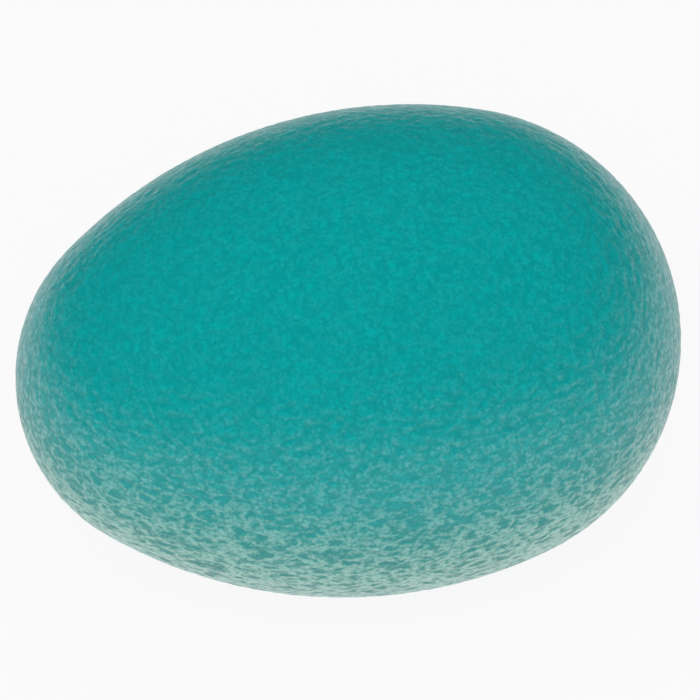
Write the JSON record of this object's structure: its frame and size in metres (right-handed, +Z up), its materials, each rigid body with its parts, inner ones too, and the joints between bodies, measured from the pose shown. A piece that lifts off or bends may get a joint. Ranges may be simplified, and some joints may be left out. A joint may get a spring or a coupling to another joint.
{
  "type": "squeeze egg hand exerciser",
  "caption": "Palm-sized soft squeeze egg for grip training: a moulded elastomer skin filled with gel and closed by a flush plug at its blunt end.",
  "frame": {"origin": "under the middle of the egg's length, on the flat that it rests on", "axes": "+X along the egg's long axis towards the blunt end, +Z up, the long axis level"},
  "size_m": [0.0618, 0.045, 0.0445],
  "materials": {
    "skin_elastomer": "satin",
    "filling_gel": "gloss",
    "plug_elastomer": "satin"
  },
  "bodies": {
    "egg": {"skin": "skin_elastomer", "gel_core": "filling_gel"},
    "plug": {"fill_plug": "plug_elastomer"}
  },
  "joints": [
    {"name": "end_squeeze", "type": "slide", "parent": "egg", "child": "plug", "axis": [-1, 0, 0], "range_m": [0, 0.018], "stiffness_N_per_m": 1500, "deforming": ["skin", "gel_core"]}
  ]
}
